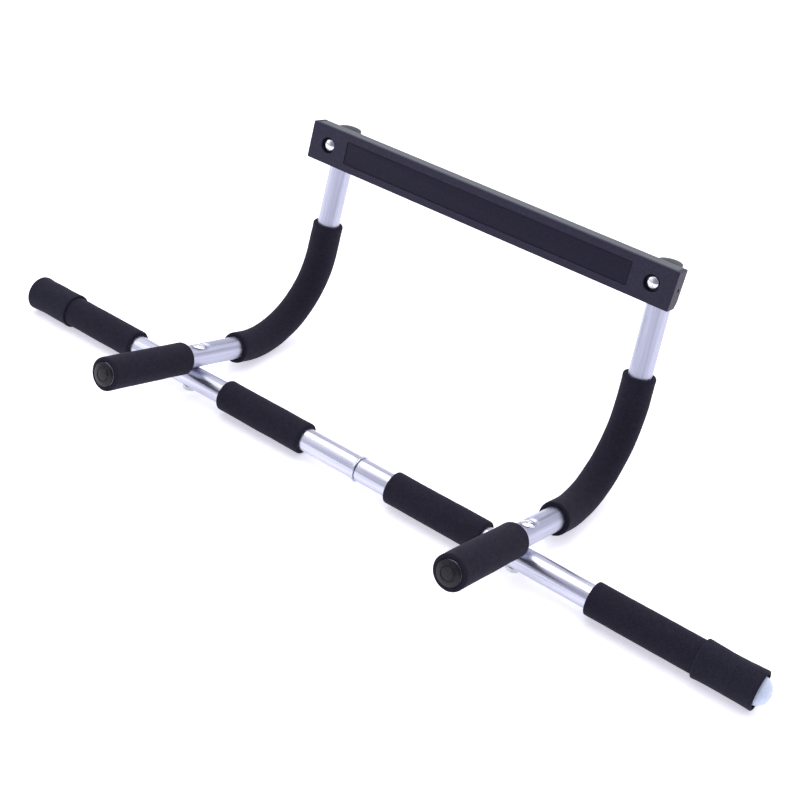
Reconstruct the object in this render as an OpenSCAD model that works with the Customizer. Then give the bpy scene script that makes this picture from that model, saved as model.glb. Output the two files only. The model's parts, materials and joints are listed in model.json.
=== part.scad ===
// Doorway pull-up bar with parallel, wide, close and neutral grips. All sizes in millimetres.
//
// The bar lies as it does on a floor: on its two end sleeves and on the heels of its two curved arms.
// +X runs along the main bar, -Y is the side of the neutral grips and +Z is up.
// The modules below are drawn in a working frame: the main bar's axis is the X axis, and the
// straight front stretch of each arm is level. rest_pose() then tips all of it back onto its heels.

/* [Main bar] */
// Outer diameter of the main tube
main_od = 25.4; // [25:0.1:28]
// Wall of the main tube
main_wall = 1.5; // [1.2:0.1:2]
// Reach of the main tube to the left of the arms' middle plane
left_reach = 457; // [440:1:475]
// Reach of the main tube to the right of the arms' middle plane
right_reach = 469; // [450:1:485]
// Where the two halves of the main tube meet, right of the middle plane
joint_x = 22.5; // [10:0.5:35]
// Length of the necked spigot that plugs into the left half
spigot_len = 70; // [50:1:100]
// Diameter over the rolled bead at the mouth of the left half
bead_od = 29.2; // [27:0.1:30]
// Width of the rolled bead
bead_w = 2.2; // [2:0.1:4]

/* [Arms] */
// Outer diameter of the arm tubes
arm_od = 25.4; // [25:0.1:26.5]
// Wall of the arm tubes
arm_wall = 1.5; // [1.2:0.1:2]
// Distance between the two arms where they cross the main tube
arm_spacing = 430; // [420:1:445]
// Angle by which each arm's plane leans in towards the middle, in degrees
arm_lean = 2.5; // [0:0.1:4]
// Length of an arm in front of the main tube's axis
arm_front = 141; // [120:1:160]
// Straight length of an arm from the main tube's axis back to the bend
arm_heel = 82; // [70:1:95]
// Radius of the bend, at the tube's axis
bend_r = 99; // [85:0.5:110]
// Angle of the bend, in degrees
bend_angle = 97; // [97, 97.8]
// Straight length of an arm above the bend
arm_upper = 149; // [149, 152, 153, 156]
// Depth of the saddle pressed into the main tube under each arm
saddle_depth = 0.4; // [0.3:0.1:1]

/* [Foam] */
// Diameter of the foam grips on the main bar
grip_od = 34.6; // [33:0.1:36]
// Distance from the middle plane to the inner grips, left and right
inner_grip_from = [50.5, 63.5]; // [50:0.5:70]
// Length of an inner grip
inner_grip_len = 113.5; // [90:0.5:120]
// Distance from the middle plane to the outer grips
outer_grip_from = 299; // [280:1:320]
// Diameter of the neutral grips on the front ends of the arms
neutral_grip_od = 35.4; // [33:0.1:38]
// Length of a neutral grip
neutral_grip_len = 118; // [100:1:119]
// Diameter of the foam over the bends
curve_grip_od = 35.2; // [33:0.1:38]
// Distance from the main tube's axis back to the foam over each bend, left and right
curve_grip_from = [63.5, 60.5]; // [50:0.5:70]
// Straight length of that foam above the bend, left and right
curve_grip_rise = [35, 26]; // [20:0.5:50]
// Diameter of the end sleeves that bear on the door frame
sleeve_od = 39.6; // [38.5:0.1:44]
// Length of an end sleeve
sleeve_len = 61; // [50:1:80]
// How far the end sleeves stand out past the ends of the main tube
sleeve_over = 4; // [0:0.5:6]
// Gap all round between an end sleeve and the grip that it slides over
slide_gap = 0.3; // [0.3:0.05:0.6]

/* [Top bar] */
// Length of the top bar
bar_len = 458; // [450:1:480]
// Height of the top bar
bar_h = 41.8; // [38:0.5:48]
// Depth of the top bar, cover and body together
bar_depth = 19.6; // [18:0.1:24]
// Thickness of the front cover
cover_t = 4; // [3.5:0.1:5]
// Thickness of the cover's returns over both ends of the bar
end_t = 4; // [3:0.5:5]
// Thickness of the walls and ribs of the body
shell_t = 2.5; // [2:0.1:3]
// Distance up the straight upper tube from the bend to the underside of the top bar
bar_rise = 113.2; // [110:0.1:116]
// Distance from the front face to the tubes' axis, at the underside
bar_standoff = 36.7; // [36:0.1:39]
// Angle between the front face and the upper tubes, in degrees
bar_tilt = 3.2; // [1:0.1:5]
// Length of the wall pad
pad_len = 358; // [300:1:366]
// Height of the wall pad
pad_h = 24.6; // [20:0.1:28]
// Thickness of the wall pad
pad_t = 0.8; // [0.6:0.1:1]
// Depth of the recess that holds the wall pad
pad_recess = 1.2; // [1:0.1:1.5]

/* [Fasteners and caps] */
// Thread diameter of the bolts
bolt_d = 8; // [6:1:8]
// Diameter of the bolts' domed heads
head_d = 14; // [13:0.5:15]
// Height of the bolts' domed heads
head_h = 3.4; // [3:0.1:4]
// Diameter of the wells in the front cover
well_d = 18; // [17:0.5:19]
// Depth of the wells in the front cover
well_depth = 5; // [4.5:0.1:6]
// Width across flats of the nuts
nut_flats = 13; // [13:0.1:14]
// Height of the nuts behind the upper tubes
nut_h = 6.5; // [6:0.1:7]
// Height of the thin lock nuts under the crossings
thin_nut_h = 4; // [3.5:0.1:4.5]
// Diameter over the domed end caps of the main tube
end_cap_d = 28.4; // [27:0.1:30]
// Height of the domes of those end caps
dome_h = 11.5; // [6:0.5:13]

/* [Hidden] */
$fn = 72;
eps = 0.01;

main_r = main_od / 2;
arm_r = arm_od / 2;
arm_x = arm_spacing / 2;
grip_r = grip_od / 2;
sleeve_r = sleeve_od / 2;

// Height of the arms' axis over the main tube's axis
axis_h = main_r + arm_r - saddle_depth;

// The whole bar tips back about the main tube until both heels are as low as the end sleeves.
heel_reach = norm([arm_heel, axis_h + bend_r]);
heel_drop = bend_r + curve_grip_od / 2 - sleeve_r;
rest_tilt = acos(heel_drop / heel_reach) - atan2(arm_heel, axis_h + bend_r);

// Where the straight upper tube starts, and where it passes the top bar's underside, as [y, z]
bend_end = [arm_heel + bend_r * sin(bend_angle), axis_h + bend_r * (1 - cos(bend_angle))];
upper_dir = [cos(bend_angle), sin(bend_angle)];

// How much thicker the wall of a bend is on each face, and how far a straight run laps into it
bend_swell = 0.06;
bend_lap = 0.3;
bar_foot = bend_end + bar_rise * upper_dir;

// The top bar's own frame: its origin is the lower front edge, y is depth and z is height.
face_angle = bend_angle - bar_tilt;
bar_origin = bar_foot - bar_standoff * [sin(face_angle), -cos(face_angle)];

// Bolts of the top bar: half-way up the front face, through the axis of the leaning tubes
bolt_z = bar_h / 2;
bolt_x = arm_x - (bar_foot[1] + bolt_z - axis_h) * sin(arm_lean);
tube_depth = bar_standoff - bolt_z * tan(bar_tilt);
tube_back = tube_depth + arm_r;
bore_r = bolt_d / 2 + 0.2;

// Bolt seats at the crossings: pans pressed into the tubes, above the arm's axis and under the bar's
pan_r = 8.6;
top_seat = axis_h + arm_r - 2.5;
low_seat = -main_r + 2.3;
washer_t = 1.2;
strap_t = 2.5;

// Cells of the top bar's body, between its ribs
cell_count = 7;
cell_zone = 2 * (bolt_x - 15);
cell_w = cell_zone / cell_count - shell_t;
chamfer = 1.2;

// Height of the saddles behind the body, which end below the caps on the arms
saddle_h = 27;

// Origin: the middle of the outline on the floor
nut_end = tube_back + strap_t + nut_h + 2;
mid_x = (right_reach - left_reach) / 2;
back_y = (bar_origin[0] + nut_end * cos(face_angle - 90) - (bolt_z + bolt_d / 2) * sin(face_angle - 90))
    * cos(rest_tilt) + (bar_origin[1] + nut_end * sin(face_angle - 90)
    + (bolt_z + bolt_d / 2) * cos(face_angle - 90)) * sin(rest_tilt);
front_y = -arm_front * cos(rest_tilt) + (axis_h - neutral_grip_od / 2) * sin(rest_tilt);
mid_y = (back_y + front_y) / 2;

// ---------------------------------------------------------------- frames

// Working frame to the pose in which the bar lies on a floor
module rest_pose() {
    translate([-mid_x, -mid_y, sleeve_r]) rotate([-rest_tilt, 0, 0]) children();
}

// Frame of one arm: side is -1 on the left and 1 on the right
module arm_frame(side) {
    translate([side * arm_x, 0, axis_h]) rotate([0, -side * arm_lean, 0])
        translate([0, 0, -axis_h]) children();
}

// Frame of the top bar
module bar_frame() {
    translate([0, bar_origin[0], bar_origin[1]]) rotate([face_angle - 90, 0, 0]) children();
}

// Frame of a bolt of the top bar: z points forward out of the front face
module bar_bolt_frame(side) {
    bar_frame() translate([side * bolt_x, 0, bolt_z]) rotate([90, 0, 0]) children();
}

// ---------------------------------------------------------------- shared shapes

// Pipe along +Z
module pipe(r_out, r_in, length) {
    difference() {
        cylinder(r = r_out, h = length);
        translate([0, 0, -1]) cylinder(r = r_in, h = length + 2);
    }
}

// Pipe along the main bar's axis, from x0 to x1
module bar_pipe(r_out, r_in, x0, x1) {
    translate([x0, 0, 0]) rotate([0, 90, 0]) pipe(r_out, r_in, x1 - x0);
}

// Pipe along an arm: a straight run from y0, the bend, and a straight rise. The bend's wall is a
// little thicker, so that each straight run ends inside it.
module arm_pipe(r_out, r_in, y0, rise) {
    translate([0, y0, axis_h]) rotate([-90, 0, 0]) pipe(r_out, r_in, arm_heel - y0 + bend_lap);
    translate([0, arm_heel, axis_h + bend_r]) rotate([0, 90, 0])
        rotate_extrude(angle = bend_angle) translate([bend_r, 0]) difference() {
            circle(r = r_out + bend_swell);
            circle(r = r_in - bend_swell);
        }
    translate([0, bend_end[0], bend_end[1]]) rotate([bend_angle - 90, 0, 0])
        translate([0, 0, -bend_lap]) pipe(r_out, r_in, rise + bend_lap);
}

// Dome of base radius r and height h, standing on z = 0
module dome(r, h) {
    ball_r = (r * r + h * h) / (2 * h);
    intersection() {
        translate([0, 0, h - ball_r]) sphere(r = ball_r);
        cylinder(r = r, h = h + 1);
    }
}

// Bolt with a domed head: the head's underside is at z = 0 and the shank points down
module dome_bolt(length) {
    cylinder(r = head_d / 2, h = 0.8);
    translate([0, 0, 0.8]) dome(head_d / 2, head_h - 0.8);
    translate([0, 0, -length]) cylinder(r = bolt_d / 2, h = length);
    translate([0, 0, -length - 0.8]) cylinder(r1 = bolt_d / 2 - 0.8, r2 = bolt_d / 2, h = 0.8);
}

// Hexagon nut from z = 0 up
module hex_nut(h) {
    difference() {
        cylinder(r = nut_flats / sqrt(3), h = h, $fn = 6);
        translate([0, 0, -1]) cylinder(r = bolt_d / 2, h = h + 2);
    }
}

// Block along the top bar with its long edges chamfered, from depth y0 to y1
module bar_block(y0, y1, front_edge, low_back, length) {
    rotate([90, 0, 90]) linear_extrude(height = length, center = true)
        polygon([[y0 + front_edge, 0], [y1 - low_back, 0], [y1, low_back * 1.4],
            [y1, bar_h - front_edge], [y1 - front_edge, bar_h], [y0 + front_edge, bar_h],
            [y0, bar_h - front_edge], [y0, front_edge]]);
}

// ---------------------------------------------------------------- main bar

// Saddles, bolt bores and low pans where the arms cross the main tube
module crossing_cuts(side) {
    translate([side * arm_x, -main_od, axis_h]) rotate([-90, 0, 0])
        cylinder(r = arm_r, h = 2 * main_od);
    translate([side * arm_x, 0, -main_od]) cylinder(r = bore_r, h = 2 * main_od);
    translate([side * arm_x, 0, -main_od]) cylinder(r = pan_r, h = main_od + low_seat);
}

module low_pan(side) {
    difference() {
        intersection() {
            translate([side * arm_x, 0, low_seat]) cylinder(r = pan_r, h = main_wall);
            translate([side * arm_x - 20, 0, 0]) rotate([0, 90, 0]) cylinder(r = main_r, h = 40);
        }
        translate([side * arm_x, 0, -main_od]) cylinder(r = bore_r, h = 2 * main_od);
    }
}

// Left half, with the rolled bead at its mouth
module main_tube_left() {
    color("gainsboro") rest_pose() {
        difference() {
            union() {
                bar_pipe(main_r, main_r - main_wall, -left_reach, joint_x);
                bar_pipe(bead_od / 2, main_r - main_wall, joint_x - bead_w, joint_x);
            }
            crossing_cuts(-1);
        }
        low_pan(-1);
    }
}

// Right half, with the necked spigot that plugs into the left half
module main_tube_right() {
    spigot_r = main_r - main_wall - 0.1;
    color("gainsboro") rest_pose() {
        difference() {
            union() {
                bar_pipe(main_r, main_r - main_wall, joint_x, right_reach);
                bar_pipe(spigot_r, spigot_r - main_wall, joint_x - spigot_len, joint_x + 4);
            }
            crossing_cuts(1);
        }
        low_pan(1);
    }
}

// Plug with a domed cap, pressed into an end of the main tube
module end_cap(side) {
    reach = side < 0 ? left_reach : right_reach;
    color("lightsteelblue") rest_pose() translate([side * reach, 0, 0]) rotate([0, side * 90, 0]) {
        translate([0, 0, -16]) pipe(main_r - main_wall, main_r - main_wall - 2, 16 + eps);
        cylinder(r = end_cap_d / 2, h = 2);
        translate([0, 0, 2]) dome(end_cap_d / 2, dome_h);
    }
}

module outer_grip(side) {
    reach = side < 0 ? left_reach : right_reach;
    color("dimgray") rest_pose() mirror([side < 0 ? 1 : 0, 0, 0])
        bar_pipe(grip_r, main_r, outer_grip_from, reach);
}

module inner_grip(side) {
    from = inner_grip_from[side < 0 ? 0 : 1];
    color("dimgray") rest_pose() mirror([side < 0 ? 1 : 0, 0, 0])
        bar_pipe(grip_r, main_r, from, from + inner_grip_len);
}

// Door-frame protector: it slides over the outer grip
module end_sleeve(side) {
    reach = (side < 0 ? left_reach : right_reach) + sleeve_over;
    color("darkslategray") rest_pose() mirror([side < 0 ? 1 : 0, 0, 0])
        bar_pipe(sleeve_r, grip_r + slide_gap, reach - sleeve_len, reach);
}

// ---------------------------------------------------------------- arms

// Bent arm, bored for both bolts, with a pan for the bolt head over the crossing
module arm_tube(side) {
    color("silver") rest_pose() difference() {
        union() {
            difference() {
                arm_frame(side) arm_pipe(arm_r, arm_r - arm_wall, -arm_front, arm_upper);
                translate([side * arm_x, 0, top_seat]) cylinder(r = pan_r, h = arm_od);
            }
            intersection() {
                translate([side * arm_x, 0, top_seat - arm_wall]) cylinder(r = pan_r, h = arm_wall);
                translate([side * arm_x, -20, axis_h]) rotate([-90, 0, 0])
                    cylinder(r = arm_r, h = 40);
            }
        }
        translate([side * arm_x, 0, 0]) cylinder(r = bore_r, h = 2 * arm_od);
        bar_bolt_frame(side) translate([0, 0, -tube_depth - arm_od])
            cylinder(r = bore_r, h = 2 * arm_od);
    }
}

// Plug in the front end of an arm, with a ring moulded into its face
module arm_plug(side) {
    color("black") rest_pose() arm_frame(side) translate([0, -arm_front, axis_h])
        rotate([90, 0, 0]) {
            translate([0, 0, -14]) pipe(arm_r - arm_wall, arm_r - arm_wall - 2, 14 + eps);
            difference() {
                union() {
                    cylinder(r = arm_r, h = 1.4);
                    translate([0, 0, 1.4]) dome(arm_r - 1, 1.8);
                }
                translate([0, 0, 1.9]) pipe(7.6, 6.4, 3);
            }
        }
}

// Cap on the top end of an arm
module arm_cap(side) {
    color("dimgray") rest_pose() arm_frame(side) translate([0, bend_end[0], bend_end[1]])
        rotate([bend_angle - 90, 0, 0]) translate([0, 0, arm_upper]) {
            translate([0, 0, -7]) pipe(arm_r - arm_wall, arm_r - arm_wall - 2, 7 + eps);
            cylinder(r = arm_r + 0.5, h = 2);
            translate([0, 0, 2]) dome(arm_r + 0.5, 2.2);
        }
}

module neutral_grip(side) {
    color("dimgray") rest_pose() arm_frame(side) translate([0, -arm_front, axis_h])
        rotate([-90, 0, 0]) pipe(neutral_grip_od / 2, arm_r, neutral_grip_len);
}

module curve_grip(side) {
    i = side < 0 ? 0 : 1;
    color("dimgray") rest_pose() arm_frame(side)
        arm_pipe(curve_grip_od / 2, arm_r + 2 * bend_swell, curve_grip_from[i], curve_grip_rise[i]);
}

// ---------------------------------------------------------------- crossing fasteners

module crossing_bolt(side) {
    color("whitesmoke") rest_pose() translate([side * arm_x, 0, top_seat])
        dome_bolt(top_seat - low_seat + washer_t + thin_nut_h + 0.6);
}

module crossing_washer(side) {
    color("silver") rest_pose() translate([side * arm_x, 0, low_seat - washer_t])
        pipe(pan_r - 0.4, bolt_d / 2, washer_t);
}

module crossing_nut(side) {
    color("silver") rest_pose() translate([side * arm_x, 0, low_seat - washer_t - thin_nut_h])
        hex_nut(thin_nut_h);
}

// ---------------------------------------------------------------- top bar

// Screw hole through the middle of one end of the top bar
module end_hole(side) {
    translate([side * bar_len / 2, 11, bolt_z]) rotate([0, 90, 0])
        cylinder(r = 2, h = 20, center = true);
}

// Front cover: a plate with returns over both ends, two bolt wells and a recess for the wall pad
module bar_front_cover() {
    color("darkslateblue") rest_pose() bar_frame() difference() {
        union() {
            bar_block(0, cover_t, chamfer, 0, bar_len);
            for (side = [-1, 1]) {
                translate([side * (bar_len - end_t) / 2, 0, 0])
                    bar_block(0, bar_depth, chamfer, 4, end_t);
                translate([side * bolt_x, cover_t - eps, bolt_z]) rotate([-90, 0, 0])
                    cylinder(r = well_d / 2 + 2, h = well_depth + 2 - cover_t);
            }
        }
        for (side = [-1, 1]) {
            translate([side * bolt_x, well_depth, bolt_z]) rotate([90, 0, 0])
                cylinder(r = well_d / 2, h = well_depth + 1);
            translate([side * bolt_x, 2 * well_depth, bolt_z]) rotate([90, 0, 0])
                cylinder(r = bore_r, h = 3 * well_depth);
            end_hole(side);
        }
        translate([-pad_len / 2 - 0.4, -1, (bar_h - pad_h) / 2 - 0.4])
            cube([pad_len + 0.8, pad_recess + 1, pad_h + 0.8]);
    }
}

module wall_pad() {
    color("black") rest_pose() bar_frame()
        translate([-pad_len / 2, pad_recess - pad_t, (bar_h - pad_h) / 2])
            cube([pad_len, pad_t, pad_h]);
}

// Space between two ribs of the body, open to the front
module body_cell(x0, width) {
    translate([x0, cover_t - 1, shell_t])
        cube([width, bar_depth - cover_t - shell_t + 1, bar_h - 2 * shell_t]);
}

// Rear body: a ribbed shell with a saddle that holds each upper tube
module bar_rear_body() {
    boss_r = 9;
    end_x0 = bolt_x - 15 + shell_t;
    end_w = bar_len / 2 - end_t - shell_t - end_x0;
    color("slategray") rest_pose() difference() {
        bar_frame() {
            difference() {
                bar_block(cover_t, bar_depth, 0, 4, bar_len - 2 * end_t);
                for (i = [0 : cell_count - 1]) {
                    body_cell(-cell_zone / 2 + (i + 0.5) * shell_t + i * cell_w, cell_w);
                }
                for (side = [-1, 1]) {
                    mirror([side < 0 ? 1 : 0, 0, 0]) difference() {
                        body_cell(end_x0, end_w);
                        translate([bolt_x, well_depth + 2, bolt_z]) rotate([-90, 0, 0])
                            cylinder(r = boss_r, h = bar_depth);
                    }
                    translate([side * bolt_x, cover_t - 1, bolt_z]) rotate([-90, 0, 0])
                        cylinder(r = well_d / 2 + 2.2, h = well_depth + 3 - cover_t);
                    end_hole(side);
                }
            }
            for (side = [-1, 1]) {
                translate([side * bolt_x - 17, bar_depth - eps, 5])
                    cube([34, tube_depth - bar_depth - 4, saddle_h]);
            }
        }
        for (side = [-1, 1]) {
            arm_frame(side) translate([0, bend_end[0], bend_end[1]]) rotate([bend_angle - 90, 0, 0])
                cylinder(r = arm_r, h = 2 * arm_upper);
            bar_bolt_frame(side) translate([0, 0, -3 * bar_depth])
                cylinder(r = bore_r, h = 3 * bar_depth);
        }
    }
}

module bar_bolt(side) {
    color("whitesmoke") rest_pose() bar_bolt_frame(side) translate([0, 0, -well_depth + washer_t])
        dome_bolt(nut_end - well_depth + washer_t - 0.8);
}

module bar_washer(side) {
    color("silver") rest_pose() bar_bolt_frame(side) translate([0, 0, -well_depth])
        pipe(head_d / 2 + 1, bolt_d / 2, washer_t);
}

// Curved strap washer that spreads the nut's load over the back of an upper tube
module saddle_strap(side) {
    color("silver") rest_pose() difference() {
        bar_bolt_frame(side) translate([-9, -12, -tube_back - strap_t])
            cube([18, 24, strap_t + 5]);
        arm_frame(side) translate([0, bend_end[0], bend_end[1]]) rotate([bend_angle - 90, 0, 0])
            cylinder(r = arm_r, h = 2 * arm_upper);
        bar_bolt_frame(side) translate([0, 0, -2 * tube_back]) cylinder(r = bolt_d / 2, h = 2 * tube_back);
    }
}

module bar_nut(side) {
    color("silver") rest_pose() bar_bolt_frame(side) translate([0, 0, -tube_back - strap_t - nut_h])
        hex_nut(nut_h);
}

// ---------------------------------------------------------------- assembly

main_tube_left();
main_tube_right();
end_cap(-1);  // end_cap_left
end_cap(1);  // end_cap_right
outer_grip(-1);  // outer_grip_left
outer_grip(1);  // outer_grip_right
inner_grip(-1);  // inner_grip_left
inner_grip(1);  // inner_grip_right
end_sleeve(-1);  // end_sleeve_left
end_sleeve(1);  // end_sleeve_right
arm_tube(-1);  // arm_tube_left
arm_tube(1);  // arm_tube_right
arm_plug(-1);  // arm_plug_left
arm_plug(1);  // arm_plug_right
arm_cap(-1);  // arm_cap_left
arm_cap(1);  // arm_cap_right
neutral_grip(-1);  // neutral_grip_left
neutral_grip(1);  // neutral_grip_right
curve_grip(-1);  // curve_grip_left
curve_grip(1);  // curve_grip_right
crossing_bolt(-1);  // crossing_bolt_left
crossing_bolt(1);  // crossing_bolt_right
crossing_washer(-1);  // crossing_washer_left
crossing_washer(1);  // crossing_washer_right
crossing_nut(-1);  // crossing_nut_left
crossing_nut(1);  // crossing_nut_right
bar_front_cover();
bar_rear_body();
wall_pad();
bar_bolt(-1);  // bar_bolt_left
bar_bolt(1);  // bar_bolt_right
bar_washer(-1);  // bar_washer_left
bar_washer(1);  // bar_washer_right
saddle_strap(-1);  // saddle_strap_left
saddle_strap(1);  // saddle_strap_right
bar_nut(-1);  // bar_nut_left
bar_nut(1);  // bar_nut_right
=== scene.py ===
"""Looks of the doorway pull-up bar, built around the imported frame.

Sizes are in millimetres in the same working frame as the CAD: the main bar's axis is the X axis
and the front stretch of each arm is level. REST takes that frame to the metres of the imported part.
"""

import json
import math

import bmesh
import bpy
from mathutils import Matrix, Vector, noise


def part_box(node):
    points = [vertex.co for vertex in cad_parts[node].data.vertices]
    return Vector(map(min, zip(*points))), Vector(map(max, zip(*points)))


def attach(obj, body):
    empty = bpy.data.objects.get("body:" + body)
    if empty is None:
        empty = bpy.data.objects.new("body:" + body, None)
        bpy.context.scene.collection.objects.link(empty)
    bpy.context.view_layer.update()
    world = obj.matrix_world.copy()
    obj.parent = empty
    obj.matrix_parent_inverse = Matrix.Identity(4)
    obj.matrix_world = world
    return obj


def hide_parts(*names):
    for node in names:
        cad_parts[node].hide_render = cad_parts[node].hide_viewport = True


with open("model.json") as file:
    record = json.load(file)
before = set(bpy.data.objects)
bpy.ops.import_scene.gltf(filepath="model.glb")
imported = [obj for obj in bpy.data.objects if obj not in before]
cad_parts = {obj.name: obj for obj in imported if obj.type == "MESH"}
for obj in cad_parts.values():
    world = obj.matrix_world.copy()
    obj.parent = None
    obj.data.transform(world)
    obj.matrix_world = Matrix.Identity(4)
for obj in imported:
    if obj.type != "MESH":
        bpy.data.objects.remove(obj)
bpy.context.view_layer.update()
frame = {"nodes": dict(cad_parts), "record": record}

SIDES = {"left": -1, "right": 1}
SLOTS = {s["node"]: s["material_slot"] for s in frame["record"]["subparts"]}
MM = 0.001

# Main bar
MAIN_R, MAIN_WALL = 12.7, 1.5
REACH = {"left": 457, "right": 469}
JOINT_X, SPIGOT_LEN = 22.5, 70
BEAD_R, BEAD_W = 14.6, 2.2
CAP_R, CAP_FLANGE, DOME_H = 14.2, 2, 11.5

# Arms
ARM_R, ARM_WALL, ARM_X, ARM_LEAN = 12.7, 1.5, 215, 2.5
ARM_FRONT, ARM_HEEL, BEND_R, BEND_ANGLE, ARM_UPPER = 141, 82, 99, 97, 149
AXIS_H = 25
BEND_LEN = BEND_R * math.radians(BEND_ANGLE)

# Foam
GRIP_R, INNER_LEN, OUTER_FROM = 17.3, 113.5, 299
INNER_FROM = {"left": 50.5, "right": 63.5}
NEUTRAL_R, NEUTRAL_LEN = 17.7, 118
CURVE_R = 17.6
CURVE_FROM, CURVE_RISE = {"left": 63.5, "right": 60.5}, {"left": 35, "right": 26}
SLEEVE_R, SLEEVE_LEN, SLEEVE_OVER, SLIDE_GAP = 19.8, 61, 4, 0.3
FOAM_GAP, BEND_GAP = 0.05, 0.12

# Plugs pushed into the arms: bore, hollow and crown
PLUG_R, HOLLOW_R, PLUG_CROWN = 11.2, 9.2, 3.2

# Top bar
BAR_LEN, BAR_H, BAR_DEPTH, COVER_T, END_T = 458, 41.8, 19.6, 4, 4
BAR_RISE, BAR_STANDOFF, BAR_TILT = 113.2, 36.7, 3.2
PAD_LEN, PAD_H, PAD_T, PAD_RECESS = 358, 24.6, 0.8, 1.2
SADDLE_LOW, SADDLE_TOP, SADDLE_HALF = 5, 32, 17
VENT_R, VENT_Y = 2, 11

# Fasteners
BOLT_R, HEAD_R, HEAD_H = 4, 7, 3.4
WELL_R, WELL_DEPTH = 9, 5
NUT_FLATS, NUT_H, THIN_NUT_H = 13, 6.5, 4
WASHER_T, STRAP_T, PAN_R = 1.2, 2.5, 8.6
THREAD_PITCH, THREAD_DEPTH = 1.25, 0.55
BORE_GAP = 0.2
TOP_SEAT = AXIS_H + ARM_R - 2.5
LOW_SEAT = -MAIN_R + 2.3


# ---------------------------------------------------------------- frames

def turn(degrees, axis):
    return Matrix.Rotation(math.radians(degrees), 4, axis)


def shift(x, y, z):
    return Matrix.Translation((x, y, z))


HEEL_REACH = math.hypot(ARM_HEEL, AXIS_H + BEND_R)
HEEL_DROP = BEND_R + CURVE_R - SLEEVE_R
REST_TILT = math.degrees(math.acos(HEEL_DROP / HEEL_REACH) - math.atan2(ARM_HEEL, AXIS_H + BEND_R))
sleeve_low, sleeve_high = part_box("end_sleeve_left")
AXIS_AT = ((sleeve_low + sleeve_high) / 2) / MM
AXIS_AT.x = sleeve_low.x / MM + REACH["left"] + SLEEVE_OVER
REST = Matrix.Scale(MM, 4) @ Matrix.Translation(AXIS_AT) @ turn(-REST_TILT, "X")

# Where the straight upper tube starts, and where it passes the underside of the top bar
BEND = math.radians(BEND_ANGLE)
BEND_END = Vector((0, ARM_HEEL + BEND_R * math.sin(BEND), AXIS_H + BEND_R * (1 - math.cos(BEND))))
BAR_FOOT = BEND_END + BAR_RISE * Vector((0, math.cos(BEND), math.sin(BEND)))
FACE_ANGLE = BEND_ANGLE - BAR_TILT
FACE = math.radians(FACE_ANGLE)
BAR_ORIGIN = BAR_FOOT - BAR_STANDOFF * Vector((0, math.sin(FACE), -math.cos(FACE)))
BAR = REST @ Matrix.Translation(BAR_ORIGIN) @ turn(FACE_ANGLE - 90, "X")

BOLT_Z = BAR_H / 2
BOLT_X = ARM_X - (BAR_FOOT.z + BOLT_Z - AXIS_H) * math.sin(math.radians(ARM_LEAN))
TUBE_DEPTH = BAR_STANDOFF - BOLT_Z * math.tan(math.radians(BAR_TILT))
TUBE_BACK = TUBE_DEPTH + ARM_R
NUT_END = TUBE_BACK + STRAP_T + NUT_H + 2


def arm_frame(side):
    return (REST @ shift(side * ARM_X, 0, AXIS_H) @ turn(-side * ARM_LEAN, "Y")
            @ shift(0, 0, -AXIS_H))


def bar_bolt_frame(side):
    return BAR @ shift(side * BOLT_X, 0, BOLT_Z) @ turn(90, "X")


def main_path(s):
    """Frame on the main bar's axis at x = s, with its z along the axis."""
    return Matrix(((0, 0, 1, s), (1, 0, 0, 0), (0, 1, 0, 0), (0, 0, 0, 1)))


def arm_path(s):
    """Frame on an arm's axis, s along the arm from over the main bar's axis."""
    bent = min(max(s - ARM_HEEL, 0), BEND_LEN) / BEND_R
    along = Vector((0, math.cos(bent), math.sin(bent)))
    at = Vector((0, min(s, ARM_HEEL) + BEND_R * math.sin(bent),
                 AXIS_H + BEND_R * (1 - math.cos(bent))))
    at += max(s - ARM_HEEL - BEND_LEN, 0) * along
    return Matrix(((1, 0, 0, 0), (0, along.z, along.y, at.y), (0, -along.y, along.z, at.z),
                   (0, 0, 0, 1)))


def straight_path(s):
    return shift(0, 0, s)


# ---------------------------------------------------------------- mesh helpers

def rounded(corners, closed=False, steps=4):
    """Polyline through (u, v, radius) corners, each rounded over its own radius."""
    count = len(corners)
    line = []
    for i, (u, v, radius) in enumerate(corners):
        here = Vector((u, v))
        if radius == 0 or (not closed and i in (0, count - 1)):
            line.append(here)
            continue
        before = Vector(corners[i - 1][:2]) - here
        after = Vector(corners[(i + 1) % count][:2]) - here
        reach = radius / math.tan(before.angle(after) / 2)
        first, last = here + before.normalized() * reach, here + after.normalized() * reach
        for k in range(steps + 1):
            t = k / steps
            line.append(first * (1 - t) ** 2 + here * 2 * t * (1 - t) + last * t ** 2)
    return line


def denser(line, step, closed=False):
    """The same polyline with no stretch longer than step."""
    out = []
    pairs = list(zip(line, line[1:] + line[:1] if closed else line[1:]))
    for a, b in pairs:
        parts = max(1, math.ceil((b - a).length / step))
        out += [a.lerp(b, k / parts) for k in range(parts)]
    return out if closed else out + [line[-1]]


def smooth_step(x):
    x = min(max(x, 0), 1)
    return x * x * (3 - 2 * x)


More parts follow.
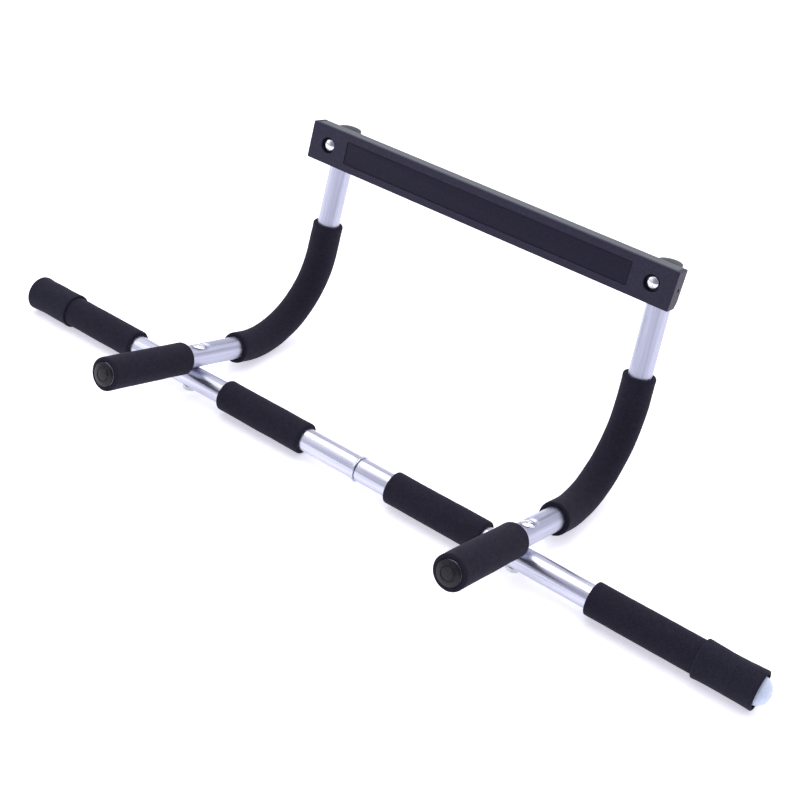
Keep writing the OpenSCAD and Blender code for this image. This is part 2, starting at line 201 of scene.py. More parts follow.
def make(name, verts, faces, material, lay=None, sharp=35):
    """Object from points in metres. lay is each point's place on its tube, for the materials."""
    bm = bmesh.new()
    layer = bm.verts.layers.float_vector.new("lay")
    made = []
    for i, point in enumerate(verts):
        vert = bm.verts.new(point)
        vert[layer] = Vector(lay[i]) * MM if lay else point
        made.append(vert)
    for face in faces:
        bm.faces.new([made[i] for i in face])
    bmesh.ops.remove_doubles(bm, verts=bm.verts, dist=1e-7)
    bmesh.ops.recalc_face_normals(bm, faces=bm.faces)
    for face in bm.faces:
        face.smooth = True
    mesh = bpy.data.meshes.new(name)
    bm.to_mesh(mesh)
    bm.free()
    mesh.set_sharp_from_angle(angle=math.radians(sharp))
    mesh.materials.append(material)
    piece = bpy.data.objects.new(name, mesh)
    bpy.context.scene.collection.objects.link(piece)
    return piece


def loft_faces(rows, columns, closed):
    """Quads between neighbouring rings; closed joins the last ring to the first."""
    faces = []
    for a in range(rows if closed else rows - 1):
        b = (a + 1) % rows
        for i in range(columns):
            j = (i + 1) % columns
            faces.append((a * columns + i, a * columns + j, b * columns + j, b * columns + i))
    return faces


def sweep(name, path, place, outline, material, segments=64, closed=True, shape=None,
          dent=None, sharp=35):
    """Surface of revolution about a path. outline is (along, radius); shape(s, angle, r) gives
    a point's own radius, and dent(point) moves a point in the path's own frame."""
    verts, lay = [], []
    for s, r in outline:
        at = path(s)
        for i in range(segments):
            angle = 2 * math.pi * i / segments
            own = shape(s, angle, r) if shape else r
            point = at @ Vector((own * math.cos(angle), own * math.sin(angle), 0))
            verts.append(place @ (dent(point) if dent else point))
            lay.append((own * math.cos(angle), own * math.sin(angle), s))
    faces = loft_faces(len(outline), segments, closed)
    return make(name, verts, faces, material, lay, sharp)


def lathe(name, place, outline, material, segments=64, closed=False, sharp=35):
    """Revolved piece; outline is (radius, height)."""
    turned = [(z, r) for r, z in outline]
    return sweep(name, straight_path, place, turned, material, segments, closed, sharp=sharp)


def block(name, place, outline, x0, x1, edge, material, sharp=35):
    """Prism along X with its two ends rounded over edge. outline is (y, z)."""
    mid = (Vector((min(p.x for p in outline), min(p.y for p in outline)))
           + Vector((max(p.x for p in outline), max(p.y for p in outline)))) / 2
    half = Vector((max(p.x for p in outline), max(p.y for p in outline))) - mid
    stations = [(0, edge), (edge * 0.3, edge * 0.3), (edge, 0)]
    rows = [(x0 + a, b) for a, b in stations] + [(x1 - a, b) for a, b in reversed(stations)]
    verts = []
    for x, inset in rows:
        for p in outline:
            own = Vector(((p.x - mid.x) * (1 - inset / half.x),
                          (p.y - mid.y) * (1 - inset / half.y)))
            verts.append(place @ Vector((x, own.x + mid.x, own.y + mid.y)))
    count = len(outline)
    faces = loft_faces(len(rows), count, False)
    faces += [tuple(range(count)), tuple((len(rows) - 1) * count + i for i in range(count))]
    return make(name, verts, faces, material, sharp=sharp)


def carve(piece, tool, operation="DIFFERENCE"):
    """Boolean of two pieces, applied at once; the tool is used up."""
    modifier = piece.modifiers.new("cut", "BOOLEAN")
    modifier.operation, modifier.solver, modifier.object = operation, "EXACT", tool
    settle(piece)
    bpy.data.objects.remove(tool)


def settle(piece):
    """Applies a piece's modifiers."""
    graph = bpy.context.evaluated_depsgraph_get()
    mesh = bpy.data.meshes.new_from_object(piece.evaluated_get(graph))
    piece.modifiers.clear()
    piece.data = mesh


def soften(piece, width, segments=2, angle=38):
    """Small bevel on every crisp edge."""
    bevel = piece.modifiers.new("bevel", "BEVEL")
    bevel.width, bevel.segments, bevel.limit_method = width * MM, segments, "ANGLE"
    bevel.angle_limit = math.radians(angle)
    bevel.miter_outer = "MITER_ARC"
    normals = piece.modifiers.new("normals", "WEIGHTED_NORMAL")
    normals.keep_sharp = False


def stand_for(piece, node, body="frame"):
    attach(piece, body)
    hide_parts(node)


# ---------------------------------------------------------------- materials

class Paint:
    """A node material around one Principled shader."""

    def __init__(self, name, rough, metal=0.0, along=1.0, **sockets):
        self.material = bpy.data.materials.new(name)
        self.material.use_nodes = True
        self.tree = self.material.node_tree
        self.shader = self.tree.nodes["Principled BSDF"]
        self.shader.inputs["Roughness"].default_value = rough
        self.shader.inputs["Metallic"].default_value = metal
        for socket, value in sockets.items():
            self.shader.inputs[socket.replace("_", " ")].default_value = value
        lay = self.node("ShaderNodeAttribute", attribute_name="lay")
        mapping = self.node("ShaderNodeMapping")
        mapping.inputs["Scale"].default_value = (1, 1, along)
        self.link(lay.outputs["Vector"], mapping.inputs["Vector"])
        self.place = mapping.outputs["Vector"]

    def node(self, kind, **settings):
        made = self.tree.nodes.new(kind)
        for key, value in settings.items():
            setattr(made, key, value)
        return made

    def link(self, a, b):
        self.tree.links.new(a, b)

    def noise(self, feature_mm, detail=3.0, rough=0.55):
        """Noise with features of that size."""
        made = self.node("ShaderNodeTexNoise")
        made.inputs["Scale"].default_value = 1 / (feature_mm * MM)
        made.inputs["Detail"].default_value = detail
        made.inputs["Roughness"].default_value = rough
        self.link(self.place, made.inputs["Vector"])
        return made.outputs["Fac"]

    def cells(self, feature_mm):
        made = self.node("ShaderNodeTexVoronoi")
        made.inputs["Scale"].default_value = 1 / (feature_mm * MM)
        self.link(self.place, made.inputs["Vector"])
        return made.outputs["Distance"]

    def spread(self, value, low, high, from_low=0.3, from_high=0.7):
        made = self.node("ShaderNodeMapRange")
        made.inputs["From Min"].default_value = from_low
        made.inputs["From Max"].default_value = from_high
        made.inputs["To Min"].default_value = low
        made.inputs["To Max"].default_value = high
        self.link(value, made.inputs["Value"])
        return made.outputs["Result"]

    def colour(self, value, low, high):
        ramp = self.node("ShaderNodeValToRGB")
        ramp.color_ramp.elements[0].position, ramp.color_ramp.elements[1].position = 0.3, 0.7
        ramp.color_ramp.elements[0].color = (*low, 1)
        ramp.color_ramp.elements[1].color = (*high, 1)
        self.link(value, ramp.inputs["Fac"])
        self.link(ramp.outputs["Color"], self.shader.inputs["Base Color"])

    def rough(self, value, low, high):
        self.link(self.spread(value, low, high), self.shader.inputs["Roughness"])

    def bump(self, *layers):
        """layers are (height, depth in mm, strength), from the coarsest to the finest."""
        last = None
        for height, depth, strength in layers:
            made = self.node("ShaderNodeBump")
            made.inputs["Distance"].default_value = depth * MM
            made.inputs["Strength"].default_value = strength
            self.link(height, made.inputs["Height"])
            if last:
                self.link(last, made.inputs["Normal"])
            last = made.outputs["Normal"]
        self.link(last, self.shader.inputs["Normal"])


def foam_paint(name, low, high):
    paint = Paint(name, 0.9, Sheen_Weight=0.03, Sheen_Roughness=0.45,
                  Sheen_Tint=(0.75, 0.72, 1.0, 1), Specular_IOR_Level=0.16)
    grain = paint.noise(1.5, 5, 0.7)
    paint.colour(grain, low, high)
    paint.rough(paint.noise(6, 2), 0.82, 0.96)
    paint.bump((paint.noise(5, 2), 0.25, 0.35), (grain, 0.12, 0.6), (paint.cells(0.55), 0.06, 0.5))
    return paint.material


def tube_paint(name, low, high, rough_low, rough_high, wear):
    """Drawn steel tube: streaks run along it, with finer specks over them."""
    paint = Paint(name, rough_low, 1.0, along=0.012)
    streaks = paint.noise(1.6, 3, 0.5)
    paint.colour(streaks, low, high)
    paint.rough(paint.noise(0.7, 3), rough_low, rough_high)
    paint.bump((paint.noise(7, 2), 0.10, wear), (paint.noise(0.5, 2), 0.01, wear))
    return paint.material


def plastic_paint(name, low, high, rough_low, rough_high, grain_mm, depth, **sockets):
    paint = Paint(name, rough_low, **sockets)
    grain = paint.noise(grain_mm, 3, 0.6)
    paint.colour(paint.noise(grain_mm * 4, 4, 0.6), low, high)
    paint.rough(grain, rough_low, rough_high)
    paint.bump((paint.noise(30, 2), 0.2, 0.25), (grain, depth, 0.6))
    return paint.material


def plated_paint(name, low, high, rough_low, rough_high):
    paint = Paint(name, rough_low, 1.0)
    spangle = paint.noise(2.2, 4, 0.6)
    paint.colour(spangle, low, high)
    paint.rough(paint.noise(1.1, 3), rough_low, rough_high)
    paint.bump((paint.noise(2.5, 2), 0.04, 0.3), (paint.noise(0.35, 2), 0.01, 0.4))
    return paint.material


PAINTS = {
    "grip_foam": foam_paint("grip_foam", (0.0066, 0.0060, 0.0128), (0.0210, 0.0192, 0.0325)),
    "sleeve_foam": foam_paint("sleeve_foam", (0.0080, 0.0074, 0.0158), (0.0235, 0.0218, 0.0370)),
    "main_chrome": tube_paint("main_chrome", (0.50, 0.51, 0.61), (0.68, 0.69, 0.79),
                              0.23, 0.33, 0.35),
    "arm_steel": tube_paint("arm_steel", (0.40, 0.41, 0.51), (0.52, 0.53, 0.64), 0.34, 0.43, 0.4),
    "cover_plastic": plastic_paint("cover_plastic", (0.0150, 0.0135, 0.0300),
                                   (0.0240, 0.0215, 0.0470),
                                   0.42, 0.58, 0.7, 0.05, Specular_IOR_Level=0.25),
    # Base colour lighter and greener than the cover's: painted sheen, standing in for the grey gloss
    # that the overhead light gives the bar's top face
    "body_plastic": plastic_paint("body_plastic", (0.036, 0.044, 0.050), (0.052, 0.062, 0.070),
                                  0.28, 0.42, 0.9, 0.03, Specular_IOR_Level=0.4),
    "pad_rubber": plastic_paint("pad_rubber", (0.0150, 0.0135, 0.0250), (0.0225, 0.0205, 0.0370),
                                0.70, 0.85, 0.5, 0.05, Specular_IOR_Level=0.15),
    "pale_plastic": plastic_paint("pale_plastic", (0.60, 0.68, 0.84), (0.72, 0.79, 0.92),
                                  0.30, 0.42, 0.8, 0.02, Subsurface_Weight=0.35,
                                  Subsurface_Radius=(0.004, 0.004, 0.005)),
    "plug_plastic": plastic_paint("plug_plastic", (0.006, 0.006, 0.009), (0.013, 0.013, 0.018),
                                  0.22, 0.34, 0.9, 0.02, Specular_IOR_Level=0.25),
    "cap_plastic": plastic_paint("cap_plastic", (0.018, 0.022, 0.026), (0.030, 0.036, 0.041),
                                 0.38, 0.52, 0.8, 0.03, Specular_IOR_Level=0.35),
    "bolt_chrome": plated_paint("bolt_chrome", (0.74, 0.74, 0.78), (0.88, 0.88, 0.91), 0.08, 0.18),
    "zinc_steel": plated_paint("zinc_steel", (0.50, 0.51, 0.53), (0.68, 0.69, 0.70), 0.28, 0.45),
}


# ---------------------------------------------------------------- foam

def foam(node, path, place, start, end, bore, radius, edge, wave, waist=0.0, body="frame"):
    """Foam tube with soft ends. wave is how uneven it is, and waist how much it pulls in."""
    seed = Vector((sum(map(ord, node)) * 0.37, 4.1, 9.7))
    lip = edge * 1.6
    outline = rounded([(start + 0.5, bore, 0.6), (start, radius, edge), (end, radius, edge),
                       (end - 0.5, bore, 0.6)], closed=True, steps=6)
    outline = denser(outline, 2.5, closed=True)

    def shape(s, angle, r):
        outside = (r - bore) / (radius - bore)
        spot = Vector((s * 0.045, 1.1 * math.cos(angle), 1.1 * math.sin(angle))) + seed
        uneven = wave * noise.noise(spot) + 0.35 * wave * noise.noise(spot * 3.1)
        t = (s - start) / (end - start)
        pull = waist * math.sin(math.pi * min(max(t, 0), 1)) ** 0.7
        near = min(s - start, end - s)
        roll = 0.25 * wave * math.exp(-((near - lip) / lip) ** 2)
        return r + outside * (uneven - pull + roll)

    piece = sweep("foam_" + node, path, place, outline, PAINTS[SLOTS[node]], 72, True, shape,
                  sharp=80)
    stand_for(piece, node, body)


for name, side in SIDES.items():
    reach = REACH[name]
    mirrored = REST @ Matrix.Diagonal((side, 1, 1, 1))
    foam("outer_grip_" + name, main_path, mirrored, OUTER_FROM, reach, MAIN_R + FOAM_GAP, GRIP_R,
         2.2, 0.22)
    foam("inner_grip_" + name, main_path, mirrored, INNER_FROM[name], INNER_FROM[name] + INNER_LEN,
         MAIN_R + FOAM_GAP, GRIP_R, 2.0, 0.25)
    foam("end_sleeve_" + name, main_path, mirrored, reach + SLEEVE_OVER - SLEEVE_LEN,
         reach + SLEEVE_OVER, GRIP_R + SLIDE_GAP, SLEEVE_R, 1.6, 0.55, 0.7, "sleeve_" + name)
    foam("neutral_grip_" + name, arm_path, arm_frame(side), -ARM_FRONT,
         -ARM_FRONT + NEUTRAL_LEN, ARM_R + FOAM_GAP, NEUTRAL_R, 2.0, 0.25)
    foam("curve_grip_" + name, arm_path, arm_frame(side), CURVE_FROM[name],
         ARM_HEEL + BEND_LEN + CURVE_RISE[name], ARM_R + BEND_GAP, CURVE_R, 2.0, 0.3)


# ---------------------------------------------------------------- tubes

def main_dent(side):
    """Saddle under the arm and the flat pan under the bolt's washer."""
    def dent(point):
        dx = point.x - side * ARM_X
        if abs(dx) > 25:
            return point
        if point.z > 0 and abs(dx) < ARM_R:
            bed = AXIS_H - math.sqrt((ARM_R + 0.05) ** 2 - dx * dx)
            return Vector((point.x, point.y, min(point.z, bed)))
        away = math.hypot(dx, point.y)
        if point.z < LOW_SEAT:
            flat = smooth_step((PAN_R + 2.5 - away) / 2.5)
            return Vector((point.x, point.y, point.z + flat * (LOW_SEAT - point.z)))
        return point
    return dent


def stations(outline, step, spots, near, fine):
    """The outline made denser, and much denser within near of each spot."""
    coarse = denser(outline, step, closed=True)
    out = []
    for a, b in zip(coarse, coarse[1:] + coarse[:1]):
        close = any(min(abs(a.x - x), abs(b.x - x)) < near for x in spots)
        out += denser([a, b], fine if close else step)[:-1]
    return out


def main_tube_left():
    inner = MAIN_R - MAIN_WALL
    outline = rounded([
        (-REACH["left"], inner, 0), (-REACH["left"], MAIN_R, 0.4),
        (JOINT_X - BEAD_W - 0.7, MAIN_R, 0.5), (JOINT_X - BEAD_W, BEAD_R - 0.4, 0.7),
        (JOINT_X, BEAD_R, 0.8), (JOINT_X, MAIN_R + 0.35, 0.5), (JOINT_X - 0.9, inner, 0.5)],
        closed=True)
    outline = stations(outline, 8, [-ARM_X], 22, 0.9)
    piece = sweep("chrome_main_tube_left", main_path, REST, outline, PAINTS["main_chrome"], 96,
                  True, dent=main_dent(-1))
    stand_for(piece, "main_tube_left")


def main_tube_right():
    inner = MAIN_R - MAIN_WALL
    neck = inner - 0.1
    outline = rounded([
        (JOINT_X - SPIGOT_LEN, neck - MAIN_WALL, 0), (JOINT_X - SPIGOT_LEN, neck, 0.4),
        (JOINT_X + 0.1, neck, 0.1), (JOINT_X + 0.1, MAIN_R, 0.7),
        (REACH["right"], MAIN_R, 0.4), (REACH["right"], inner, 0),
        (JOINT_X + 6, inner, 0.5), (JOINT_X + 4, neck - MAIN_WALL, 0.5)], closed=True)
    outline = stations(outline, 8, [ARM_X], 22, 0.9)
    piece = sweep("chrome_main_tube_right", main_path, REST, outline, PAINTS["main_chrome"], 96,
                  True, dent=main_dent(1))
    stand_for(piece, "main_tube_right")


def arm_tube(name, side):
    """Bent arm with an oval dimple for the bolt's head over the crossing."""
    inner = ARM_R - ARM_WALL
    end = ARM_HEEL + BEND_LEN + ARM_UPPER

    def dent(point):
        away = math.hypot(point.x * 1.15, point.y * 0.8)
        seat = TOP_SEAT + 0.02
        if point.z > seat - 4 and away < PAN_R + 6 and point.z > AXIS_H + inner * 0.6:
            flat = smooth_step((PAN_R + 3.5 - away) / 3.5)
            drop = max(point.z - seat, 0)
            return Vector((point.x, point.y, point.z - flat * drop))
        return point

    outline = rounded([(-ARM_FRONT, inner, 0), (-ARM_FRONT, ARM_R, 0.4), (end, ARM_R, 0.4),
                       (end, inner, 0)], closed=True)
    outline = stations(outline, 4, [0], 18, 0.9)
    piece = sweep("steel_arm_tube_" + name, arm_path, arm_frame(side), outline,
                  PAINTS["arm_steel"], 96, True, dent=dent)
    stand_for(piece, "arm_tube_" + name)


# ---------------------------------------------------------------- plugs and caps

def end_cap(name, side):
    """Pale plug whose domed head stands out of the end sleeve."""
    inner = MAIN_R - MAIN_WALL
    angles = [math.radians(90 - 6 * k) for k in range(15)]
    outline = [Vector((CAP_R * math.cos(t), CAP_FLANGE + DOME_H * math.sin(t))) for t in angles]
    outline += rounded([(CAP_R, 1.6, 0), (CAP_R, 0, 0.4), (inner, 0, 0), (inner, -16, 0.8),
                        (HOLLOW_R, -16, 0.5), (HOLLOW_R, -1, 0.8), (0, -1, 0)])
    outline[0] = Vector((0, CAP_FLANGE + DOME_H))
    place = REST @ shift(side * REACH[name], 0, 0) @ turn(side * 90, "Y")
    piece = lathe("dome_end_cap_" + name, place, outline, PAINTS["pale_plastic"], 72)
    stand_for(piece, "end_cap_" + name)


def arm_plug(name, side):
    """Black plug with a ring moulded into its crowned face."""
    def crown(radii):
        return [(r, PLUG_CROWN - 1.5 * (r / 11.6) ** 2) for r in radii]

    ring = [(6.5, 2.0), (7.0, 1.75), (7.5, 1.95), (7.9, 2.5)]
    face = crown((0, 1.5, 3, 4.5, 5.6, 6.2)) + ring + crown((8.6, 9.4, 10.4))
    outline = [Vector(p) for p in face] + rounded(
        [(11.4, 1.7, 0), (ARM_R, 1.3, 0.5), (ARM_R, 0, 0.2), (PLUG_R, 0, 0), (PLUG_R, -14, 0.8),
         (HOLLOW_R, -14, 0.5), (HOLLOW_R, -0.5, 0.5), (0, -0.5, 0)])
    place = arm_frame(side) @ shift(0, -ARM_FRONT, AXIS_H) @ turn(90, "X")
    piece = lathe("ring_arm_plug_" + name, place, outline, PAINTS["plug_plastic"], 72, sharp=50)
    stand_for(piece, "arm_plug_" + name)


def arm_cap(name, side):
    """Dark cap with a low crown, on the top end of an arm."""
    rim = ARM_R + 0.5
    crown = [(r, 4.2 - 2.2 * (r / rim) ** 2) for r in (0, 2, 4, 6, 8, 10, 11.5, 12.4)]
    outline = [Vector(p) for p in crown] + rounded(
        [(13.0, 2.1, 0), (rim, 1.5, 0.4), (rim, 0, 0.3), (PLUG_R, 0, 0), (PLUG_R, -7, 0.6),
         (HOLLOW_R, -7, 0.4), (HOLLOW_R, -0.4, 0.4), (0, -0.4, 0)])
    place = arm_frame(side) @ arm_path(ARM_HEEL + BEND_LEN + ARM_UPPER)
    piece = lathe("crown_arm_cap_" + name, place, outline, PAINTS["cap_plastic"], 72, sharp=50)
    stand_for(piece, "arm_cap_" + name)


# ---------------------------------------------------------------- fasteners

def dome_bolt(node, place, length, thread):
    """Bolt with a domed head over z = 0 and a rolled thread at the tip of its shank."""
    ball = (HEAD_R ** 2 + (HEAD_H - 0.8) ** 2) / (2 * (HEAD_H - 0.8))
    outline = [Vector((HEAD_H - ball + math.sqrt(ball ** 2 - r * r), r))
               for r in (0, 1.5, 3, 4.2, 5.2, 6, 6.6)]
    outline += [Vector((z, r)) for r, z in rounded(
        [(6.9, 0.85, 0), (HEAD_R, 0.5, 0.2), (HEAD_R, 0, 0.25), (BOLT_R, 0, 0.3),
         (BOLT_R, -1.5, 0)])]
    turns = math.ceil(thread / THREAD_PITCH * 8)
    outline += [Vector((-length + thread - k * THREAD_PITCH / 8, BOLT_R)) for k in range(turns)]
    outline += [Vector((-length + 0.4, BOLT_R - 0.3)), Vector((-length, BOLT_R - 1)),
                Vector((-length, 0))]

    def shape(s, angle, r):
        if s > -length + thread or s < -length + 0.5:
            return r
        turn_part = (s / THREAD_PITCH - angle / (2 * math.pi)) % 1
        return r - THREAD_DEPTH * (1 - abs(2 * turn_part - 1)) * smooth_step(
            (-length + thread - s) / THREAD_PITCH)

    piece = sweep("dome_" + node, straight_path, place, outline, PAINTS["bolt_chrome"], 48, False,
                  shape, sharp=70)
    stand_for(piece, node)


def washer(node, place, radius, thickness):
    outline = rounded([(BOLT_R + 0.05, 0, 0.15), (radius, 0, 0.25), (radius, thickness, 0.4),
                       (BOLT_R + 0.05, thickness, 0.2)], closed=True)
    piece = lathe("round_" + node, place, outline, PAINTS[SLOTS[node]], 64, closed=True)
    stand_for(piece, node)


def hex_nut(node, place, height):
    """Six flats with the corners turned down at both faces."""
    half = NUT_FLATS / 2
    outline = [Vector(p) for p in ((0, BOLT_R + 0.5), (0, half - 0.2), (0.25, half + 0.25),
                                   (0.7, half * 1.16), (height - 0.7, half * 1.16),
                                   (height - 0.25, half + 0.25), (height, half - 0.2),
                                   (height, BOLT_R + 0.5), (height - 0.5, BOLT_R), (0.5, BOLT_R))]

    def shape(s, angle, r):
        off = (angle + math.pi / 6) % (math.pi / 3) - math.pi / 6
        return min(r, half / math.cos(off)) if r > BOLT_R + 1 else r

    piece = sweep("hex_" + node, straight_path, place, outline, PAINTS["zinc_steel"], 72, True,
                  shape, sharp=20)
    stand_for(piece, node)


# ---------------------------------------------------------------- top bar

def bar_outline(y0, y1, front):
    """Cross-section of the top bar from depth y0 to y1, as (y, z), its low back edge cut off."""
    cut = 4
    return rounded([(y0, 0, front), (y1 - cut, 0, 0.8), (y1, cut * 1.4, 0.8), (y1, BAR_H, 0.8),
                    (y0, BAR_H, front)], closed=True)


def pad_outline(gap, radius):
    """Outline of the pad as (x, z), grown all round by gap."""
    x, low, high = PAD_LEN / 2 + gap, (BAR_H - PAD_H) / 2 - gap, (BAR_H + PAD_H) / 2 + gap
    return rounded([(-x, low, radius), (x, low, radius), (x, high, radius), (-x, high, radius)],
                   closed=True)


def drill(place, radius, y0, y1, segments=64, flare=0.0):
    """Tool along the depth of the top bar."""
    outline = [Vector((0, y0)), Vector((radius + flare, y0)), Vector((radius + flare, y0 + 1)),
               Vector((radius, y0 + 1 + flare)), Vector((radius, y1)), Vector((0, y1))]
    return lathe("tool", place @ turn(-90, "X"), outline, PAINTS["cover_plastic"], segments)


def top_bar_cover():
    """Front plate with returns over both ends, two bolt wells and a shallow recess."""
    paint = PAINTS["cover_plastic"]
    piece = block("moulded_bar_front_cover", BAR, bar_outline(0, BAR_DEPTH, 1.1),
                  -BAR_LEN / 2, BAR_LEN / 2, 0.9, paint)
    room = rounded([(COVER_T, -5, 0), (BAR_DEPTH + 5, -5, 0), (BAR_DEPTH + 5, BAR_H + 5, 0),
                    (COVER_T, BAR_H + 5, 0)], closed=True)
    carve(piece, block("tool", BAR, room, -BAR_LEN / 2 + END_T, BAR_LEN / 2 - END_T, 0.01, paint))
    for side in SIDES.values():
        cup = BAR @ shift(side * BOLT_X, 0, BOLT_Z)
        carve(piece, drill(cup, WELL_R + 2, 2, WELL_DEPTH + 2), "UNION")
    for side in SIDES.values():
        at = BAR @ shift(side * BOLT_X, 0, BOLT_Z)
        carve(piece, drill(at, WELL_R, -1, WELL_DEPTH, 80, 0.5))
        carve(piece, drill(at, BOLT_R + BORE_GAP, 0, 12))
        vent = BAR @ shift(side * BAR_LEN / 2, VENT_Y, BOLT_Z) @ turn(90, "Z")
        carve(piece, drill(vent, VENT_R, -8, 8, 32))
    carve(piece, slab("tool", pad_outline(0.4, 1.4), -1, PAD_RECESS, 0, paint))
    finish_bar_piece(piece)
    stand_for(piece, "bar_front_cover")


def slab(name, outline, y0, y1, edge, material):
    """Flat piece lying in the front face: outline is (x, z), with its front edge rounded."""
    mid = sum(outline, Vector((0, 0))) / len(outline)
    rows = [(y0, edge), (y0 + edge * 0.3, edge * 0.3), (y0 + edge, 0), (y1, 0)] if edge else [
        (y0, 0), (y1, 0)]
    verts = []
    for y, inset in rows:
        for p in outline:
            off = p - mid
            pull = Vector((math.copysign(inset, off.x), math.copysign(inset, off.y)))
            verts.append(BAR @ Vector((p.x - pull.x, y, p.y - pull.y)))
    count = len(outline)
    faces = loft_faces(len(rows), count, False)
    faces += [tuple(range(count)), tuple((len(rows) - 1) * count + i for i in range(count))]
    return make(name, verts, faces, material)


def wall_pad():
    piece = slab("sheet_wall_pad", pad_outline(0, 1.2), PAD_RECESS - PAD_T, PAD_RECESS, 0.25,
                 PAINTS["pad_rubber"])
    stand_for(piece, "wall_pad")


def top_bar_body():
    """Rear body with a saddle block behind it for each upper tube."""
    paint = PAINTS["body_plastic"]
    inset = END_T + 0.15
    piece = block("moulded_bar_rear_body", BAR, bar_outline(COVER_T, BAR_DEPTH, 0.35),
                  -BAR_LEN / 2 + inset, BAR_LEN / 2 - inset, 0.35, paint)
    front, back = BAR_DEPTH - 2, TUBE_DEPTH - 4
    outline = rounded([(front, SADDLE_LOW, 0.5), (back, SADDLE_LOW, 1.2), (back, SADDLE_TOP, 1.2),
                       (front, SADDLE_TOP, 0.5)], closed=True)
    for side in SIDES.values():
        carve(piece, block("tool", BAR, outline, side * BOLT_X - SADDLE_HALF,
                           side * BOLT_X + SADDLE_HALF, 1.0, paint), "UNION")
    for side in SIDES.values():
        groove = lathe("tool", arm_frame(side) @ arm_path(ARM_HEEL + BEND_LEN),
                       [Vector((0, 60)), Vector((ARM_R + 0.02, 60)), Vector((ARM_R + 0.02, 240)),
                        Vector((0, 240))], paint, 96)
        carve(piece, groove)
        at = BAR @ shift(side * BOLT_X, 0, BOLT_Z)
        carve(piece, drill(at, BOLT_R + BORE_GAP, -2, 60))
        carve(piece, drill(at, WELL_R + 2.2, -2, WELL_DEPTH + 2.2))
    finish_bar_piece(piece)
    stand_for(piece, "bar_rear_body")


def finish_bar_piece(piece):
    """Soft edges, and the place on the piece that its grain follows."""
    soften(piece, 0.3)
    settle(piece)
    mesh = piece.data
    layer = mesh.attributes["lay"]
    for i, vert in enumerate(mesh.vertices):
        layer.data[i].vector = vert.co


# ---------------------------------------------------------------- assembly of the hard pieces

main_tube_left()
main_tube_right()
top_bar_cover()
top_bar_body()
wall_pad()
for name, side in SIDES.items():
    arm_tube(name, side)
    end_cap(name, side)
    arm_plug(name, side)
    arm_cap(name, side)
    over = REST @ shift(side * ARM_X, 0, 0)
    grip_length = TOP_SEAT - LOW_SEAT + WASHER_T + THIN_NUT_H + 0.6
    dome_bolt("crossing_bolt_" + name, over @ shift(0, 0, TOP_SEAT), grip_length, 9)
    under = over @ shift(0, 0, LOW_SEAT - WASHER_T)
    washer("crossing_washer_" + name, under, PAN_R - 0.4, WASHER_T)
    hex_nut("crossing_nut_" + name, under @ shift(0, 0, -THIN_NUT_H), THIN_NUT_H)
    through = bar_bolt_frame(side)
    dome_bolt("bar_bolt_" + name, through @ shift(0, 0, -WELL_DEPTH + WASHER_T),
              NUT_END - WELL_DEPTH + WASHER_T, 14)
    washer("bar_washer_" + name, through @ shift(0, 0, -WELL_DEPTH), HEAD_R + 1, WASHER_T)
    hex_nut("bar_nut_" + name, through @ shift(0, 0, -TUBE_BACK - STRAP_T - NUT_H), NUT_H)
    strap = frame["nodes"]["saddle_strap_" + name]
    strap.data.materials.clear()
    strap.data.materials.append(PAINTS["zinc_steel"])
    soften(strap, 0.35)


# ---------------------------------------------------------------- floor, light and camera

def world_ramp(tree, value, stops):
    """Colour ramp over a value of the world's direction."""
    ramp = tree.nodes.new("ShaderNodeValToRGB")
    while len(ramp.color_ramp.elements) < len(stops):
        ramp.color_ramp.elements.new(0.5)
    for element, (at, colour) in zip(ramp.color_ramp.elements, stops):
        element.position = at
        element.color = (*colour, 1)
    tree.links.new(value, ramp.inputs["Fac"])
    return ramp.outputs["Color"]


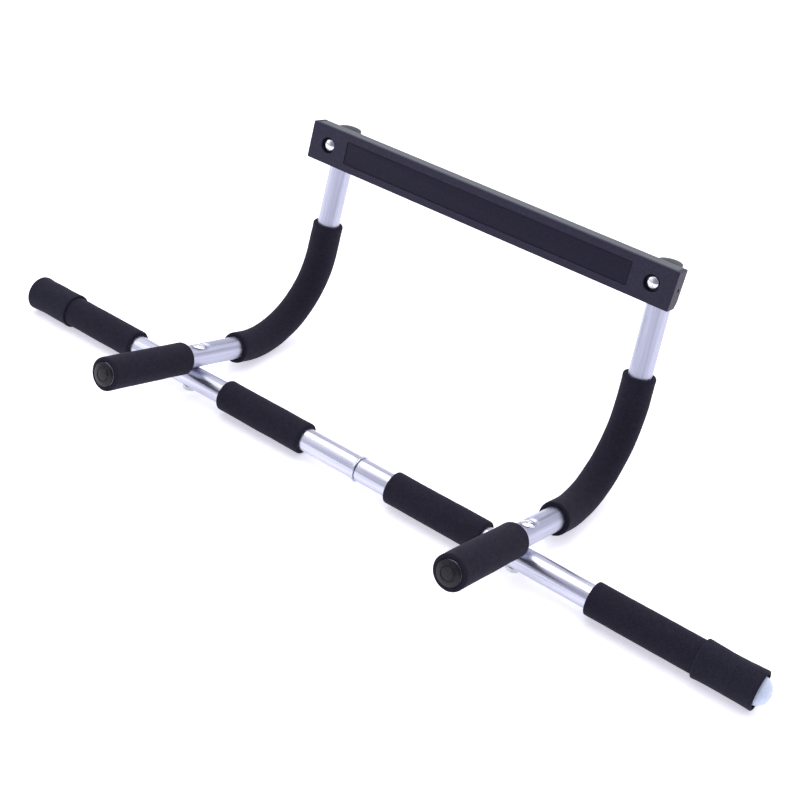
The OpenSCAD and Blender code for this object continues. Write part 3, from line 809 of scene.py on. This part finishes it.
def studio():
    bpy.ops.mesh.primitive_plane_add(size=14)
    floor = bpy.context.object
    floor.name = "floor"
    paint = Paint("floor", 0.6, Emission_Color=(0.93, 0.92, 1.0, 1), Emission_Strength=0.55)
    paint.colour(paint.noise(400, 2), (0.86, 0.86, 0.87), (0.88, 0.88, 0.89))
    floor.data.materials.append(paint.material)

    world = bpy.data.worlds.new("studio")
    bpy.context.scene.world = world
    world.use_nodes = True
    tree = world.node_tree
    sky = tree.nodes["Background"]
    sky.inputs["Strength"].default_value = 1.0
    where = tree.nodes.new("ShaderNodeTexCoord")
    split = tree.nodes.new("ShaderNodeSeparateXYZ")
    tree.links.new(where.outputs["Generated"], split.inputs["Vector"])
    height = world_ramp(tree, split.outputs["Z"], (
        (0.0, (0.85, 0.85, 0.95)), (0.06, (0.62, 0.62, 0.72)), (0.30, (0.88, 0.88, 1.0)),
        (0.8, (1.0, 1.0, 1.04))))
    # The unlit side of the room, which the front of every tube mirrors
    dark = tree.nodes.new("ShaderNodeVectorMath")
    dark.operation = "DOT_PRODUCT"
    dark.inputs[1].default_value = Vector((0.42, -0.72, 0.55)).normalized()
    tree.links.new(where.outputs["Generated"], dark.inputs[0])
    room = world_ramp(tree, dark.outputs["Value"], (
        (0.62, (1.0, 1.0, 1.0)), (0.80, (0.42, 0.42, 0.50)), (1.0, (0.26, 0.26, 0.34))))
    mix = tree.nodes.new("ShaderNodeMix")
    mix.data_type, mix.blend_type = "RGBA", "MULTIPLY"
    mix.inputs["Factor"].default_value = 1.0
    tree.links.new(height, mix.inputs["A"])
    tree.links.new(room, mix.inputs["B"])
    tree.links.new(mix.outputs["Result"], sky.inputs["Color"])

    for name, at, size, power, colour in (
            ("key", (-0.5, 0.1, 2.4), 2.0, 26, (1.0, 0.99, 0.97)),
            ("side", (-2.2, -0.8, 1.3), 1.2, 8, (0.97, 0.97, 1.0)),
            ("back", (0.3, 2.2, 1.8), 1.6, 12, (1.0, 1.0, 1.0))):
        light = bpy.data.lights.new(name, "AREA")
        light.size, light.energy, light.color = size, power, colour
        lamp = bpy.data.objects.new(name, light)
        bpy.context.scene.collection.objects.link(lamp)
        lamp.location = at
        lamp.rotation_euler = (-Vector(at)).to_track_quat("-Z", "Y").to_euler()


def camera():
    at, target, roll = Vector((0.642, -0.9835, 0.8757)), Vector((-0.0454, 0.0933, 0)), 7.51
    data = bpy.data.cameras.new("camera")
    data.lens, data.sensor_width = 61.5, 36
    eye = bpy.data.objects.new("camera", data)
    bpy.context.scene.collection.objects.link(eye)
    eye.matrix_world = (Matrix.Translation(at)
                        @ (target - at).to_track_quat("-Z", "Y").to_matrix().to_4x4()
                        @ turn(roll, "Z"))
    bpy.context.scene.camera = eye


studio()
camera()
bpy.context.scene.view_settings.view_transform = "Standard"
